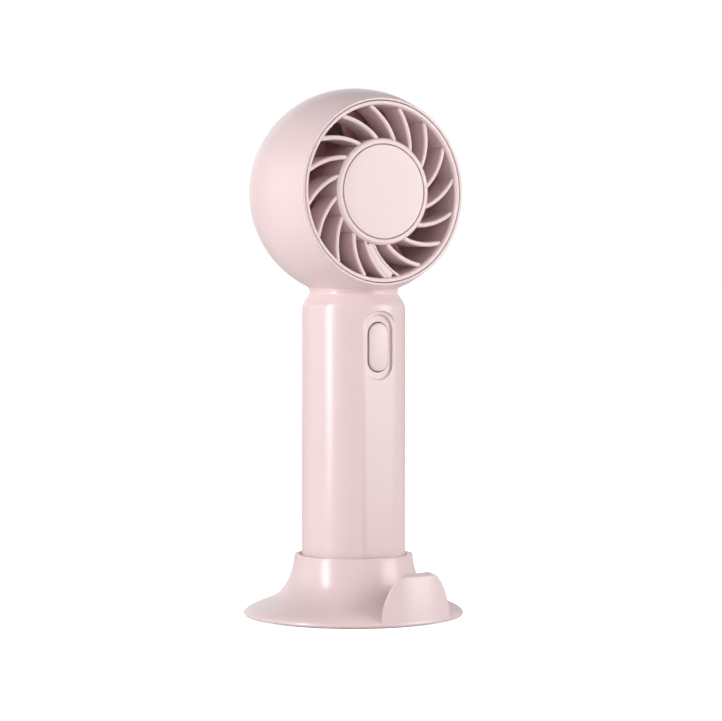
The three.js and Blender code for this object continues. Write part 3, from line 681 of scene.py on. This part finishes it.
def makeHead():
    front, radius, inside = head["front"], head["radius"], head["inside"]
    innerRadius = radius - head["wall"]
    outer = [(head["mouth"], front, 0.3), (head["lip"], front, 0.5)]
    outer += arc(radius - head["frontRadius"], head["frontRadius"], front + 0.9, 0, 28)
    outer += arc(0, radius, 0.7, head["rearRim"], 34)
    outer += [
        (head["rearOpening"], head["rearRim"]), (head["rearOpening"], head["rearSeat"], 0.15),
        (head["rearLip"], head["rearSeat"], 0.15), (head["rearLip"], inside),
    ]
    inner = arc(0, innerRadius, inside, 10, 14) + [(32.9, 10, 0.3), (32.9, head["ductEnd"], 0.3)]
    inner += [(36.4, head["ductEnd"], 0.3)] + arc(0, innerRadius, 7, 0, 8) + [(36.2, -5), (head["mouth"], -8)]
    ball = toHead(turnedOnAir("head", outer + inner, 192, closed=True))
    neck, neckRadius = handle["neck"], handle["neckRadius"]
    collar = turned("collar", [
        (0, 117.8), (handle["spigot"], 117.8, 0.3), (handle["spigot"], neck + 0.08), (neckRadius, neck + 0.08),
        *bend((neckRadius, neck + handle["waist"]), (neckRadius, 124.7), (18.0, 125.3), (19.4, 126.1), 12),
        (19.4, 128), (0, 128),
    ], 128)
    cavity = toHead(turnedOnAir("cavity", [
        (0, -20), (head["mouth"], -20), (head["mouth"], -8), (36.2, -5),
        *arc(0, innerRadius - 0.05, 0, inside, 16), (0, inside),
    ], 192))
    collar = combine(collar, cavity, "DIFFERENCE")
    ball = combine(ball, collar, "UNION")
    clearSelection()
    bpy.ops.mesh.primitive_cylinder_add(vertices=96, radius=head["passage"] * mm, depth=20 * mm)
    passage = settle(named("passage"), location=(0, 0, 120))
    ball = combine(ball, passage, "DIFFERENCE")
    return give(smoothed(ball, 30), "fan", "body_plastic", bodyPlastic, "head_shell")


makeHead()
print("head modelled")

# ---- the front grille, its duct cover and the cap ----
grille = {
    "radius": 33.45, "bezel": 33.8, "duct": 31.6, "ductEnd": 8.2, "hub": 19.9, "hubBack": -8.5,
    "pitch": 22.5, "count": 16, "first": 15.5, "sweep": -23.5, "thick": 1.75, "vaneBack": -9.5,
    "ductPlace": 8, "frontAtHub": -20.8, "frontAtRim": -20.5, "cap": 17.5, "capSeat": 17.8, "edge": 0.62,
    "reach": 0.75, "ductHalf": 2.25, "ductWall": 1.2, "cover": 3.0,
}


def vaneTurn(radius):
    return grille["sweep"] * (radius - grille["hub"]) / (grille["duct"] - grille["hub"])


def vaneFront(radius):
    share = (radius - grille["hub"]) / (grille["duct"] - grille["hub"])
    return grille["frontAtHub"] + (grille["frontAtRim"] - grille["frontAtHub"]) * share


def makeVane(name, angle, thick, back, inner, outer, frontDrop=0.0):
    # one swept blade: a flat grid bent along its sweep, thickened and rounded
    steps, rows = 20, 5
    clearSelection()
    bpy.ops.mesh.primitive_grid_add(x_subdivisions=steps, y_subdivisions=rows, size=2)
    vane = named(name)
    for v in vane.data.vertices:
        radius = inner + (outer - inner) * (v.co.x + 1) / 2
        x, z = onFace(radius, angle + vaneTurn(radius))
        start = vaneFront(radius) + frontDrop
        v.co = Vector((x, start + (back - start) * (v.co.y + 1) / 2, z)) * mm
    applied(vane, "SOLIDIFY", thickness=thick * mm, offset=0, use_even_offset=True)
    tidyMesh(vane)
    return roundEdges(vane, min(grille["edge"], thick * 0.42), 4, 50)


def makeGrille():
    front = head["front"]
    duct, hubRadius = grille["duct"], grille["hub"]
    bezel = turnedOnAir("grille", [
        (grille["bezel"], front + 0.2, 0.25), (32.6, front + 0.2, 0.2), (32.2, front + 1, 0.3),
        (duct, -12), (duct, grille["ductEnd"], 0.2), (grille["radius"], grille["ductEnd"], 0.2),
        (grille["radius"], -8), (grille["bezel"], -9),
    ], 192, closed=True)
    hub = turnedOnAir("hub", [
        (grille["capSeat"], front + 0.25), (grille["capSeat"] + 0.2, front, 0.12), (19.2, front, 0.3),
        (hubRadius, front + 0.8, 0.5),
        (hubRadius, grille["hubBack"], 0.2), (18.1, grille["hubBack"], 0.2), (18.1, -18.9), (4.3, -18.9, 0.2),
        (4.3, -9.9), (3.3, -9.9), (3.3, -20.1), (grille["capSeat"], -20.1),
    ], 160, closed=True)
    places = [i for i in range(grille["count"]) if i != grille["ductPlace"]]
    reach = duct + grille["reach"]
    vane = makeVane("vane", grille["first"], grille["thick"], grille["vaneBack"], hubRadius - 0.35, reach)
    vanes = [copyOf(vane, f"vane{i}", (0, math.radians(grille["pitch"] * i), 0)) for i in places]
    bpy.data.objects.remove(vane)
    middle = grille["first"] + grille["pitch"] * grille["ductPlace"] + 0.8
    walls = []
    for side in (-1, 1):
        offset = side * math.degrees(grille["ductHalf"] / 25)
        walls.append(makeVane(f"ductWall{side + 1}", middle + offset, grille["ductWall"], grille["hubBack"],
                              hubRadius - 0.35, reach))
    base = makeVane("ductBase", middle, 2 * grille["ductHalf"], grille["hubBack"], hubRadius - 0.3, duct + 0.3,
                    frontDrop=9)
    whole = joinAll([bezel, hub, *vanes, *walls, base], "grille")
    toHead(whole)
    give(smoothed(whole, 35), "fan", "grille_plastic", grillePlastic, "front_grille")
    cover = makeVane("ductCover", middle, grille["cover"], -18.2, hubRadius + 0.1, duct + 0.3, frontDrop=0.25)
    toHead(cover)
    give(smoothed(cover, 35), "fan", "grille_plastic", grillePlastic, "wire_duct_cover")


def makeCap():
    front, radius = head["front"], grille["cap"]
    cap = turnedOnAir("hubCap", [
        (0, front + 0.02), (radius - 6, front + 0.02), (radius, front, 0.3), (radius, -20.05, 0.1), (0, -20.05),
    ], 160)
    toHead(cap)
    return give(smoothed(cap, 35), "fan", "hub_cap_plastic", capPlastic, "hub_cap")


makeGrille()
makeCap()
print("grille and cap modelled")

# ---- the rear grille ----
rear = {"slots": 20, "start": 9.5, "length": 15.6, "sweep": 40, "thick": 1.8, "clear": 0.35}


def makeRearGrille():
    radius = head["radius"]
    seat = head["rearOpening"] - rear["clear"]
    edge = math.sqrt(radius ** 2 - seat ** 2)
    outer = list(reversed(arc(0, radius, edge, radius * 0.9999, 30)))
    inner = arc(0, radius - rear["thick"], 26.4, (radius - rear["thick"]) * 0.9999, 30)
    dome = turnedOnAir("rearGrille", [
        (0, radius), *outer[1:-1], (seat, edge, 0.3), (seat, 25.5, 0.2), (seat - 1.6, 25.5, 0.2),
        *inner[:-1], (0, radius - rear["thick"]),
    ], 160)
    clearSelection()
    bpy.ops.mesh.primitive_cube_add(size=2)
    slot = named("slot")
    bpy.ops.object.mode_set(mode="EDIT")
    bpy.ops.mesh.select_all(action="SELECT")
    bpy.ops.mesh.subdivide(number_cuts=11)
    bpy.ops.object.mode_set(mode="OBJECT")
    for v in slot.data.vertices:
        out = rear["length"] * (v.co.x + 1) / 2
        around = rear["start"] + out
        rounding = math.sqrt(max(0.0, 1 - abs(v.co.x) ** 8))
        half = (0.55 + 0.055 * out) * max(rounding, 0.25)
        x, z = onFace(around, rear["sweep"] * out / rear["length"] + math.degrees(half * v.co.z / around))
        v.co = Vector((x, 31 + 11 * v.co.y, z)) * mm
    slots = [copyOf(slot, f"slot{k}", (0, math.radians(360 / rear["slots"] * k), 0)) for k in range(rear["slots"])]
    bpy.data.objects.remove(slot)
    cutters = tidyMesh(joinAll(slots, "slots"))
    dome = combine(dome, cutters, "DIFFERENCE")
    toHead(dome)
    return give(smoothed(dome, 32), "fan", "grille_plastic", grillePlastic, "rear_grille")


makeRearGrille()
print("rear grille modelled")

# ---- the impeller ----
impeller = {
    "blades": 9, "root": 18.2, "tip": 30.7, "reach": 5.6, "halfTurn": 17, "thick": 1.2, "hub": 19, "back": 6.4,
}


def makeImpeller():
    hub = turnedOnAir("impellerWheel", [
        (1.3, -8.3), (15.85, -8.3), (15.85, -15), (17.2, -15, 0.2), (17.2, -7.6, 0.2), (18.8, -7.6, 0.5),
        (impeller["hub"], -6.6), (impeller["hub"], impeller["back"], 0.3), (17.4, impeller["back"], 0.3),
        (17.4, -6.8, 0.5), (3.2, -6.8, 0.3), (3.2, -3, 0.2), (1.3, -3),
    ], 128, closed=True)
    clearSelection()
    bpy.ops.mesh.primitive_grid_add(x_subdivisions=10, y_subdivisions=16, size=2)
    blade = named("blade")
    for v in blade.data.vertices:
        radius = impeller["root"] + (impeller["tip"] - impeller["root"]) * (v.co.x + 1) / 2
        along = v.co.y
        x, z = onFace(radius, impeller["halfTurn"] * along * (1 - 0.12 * along))
        v.co = Vector((x, impeller["reach"] * along, z)) * mm
    applied(blade, "SOLIDIFY", thickness=impeller["thick"] * mm, offset=0, use_even_offset=True)
    tidyMesh(blade)
    roundEdges(blade, 0.4, 3, 50)
    step = 360 / impeller["blades"]
    blades = [copyOf(blade, f"blade{i}", (0, math.radians(step * i), 0)) for i in range(impeller["blades"])]
    bpy.data.objects.remove(blade)
    wheel = toHead(joinAll([hub, *blades], "impellerWheel"))
    return give(smoothed(wheel, 35), "impeller", "impeller_plastic", impellerPlastic, "impeller")


makeImpeller()
print("impeller modelled")
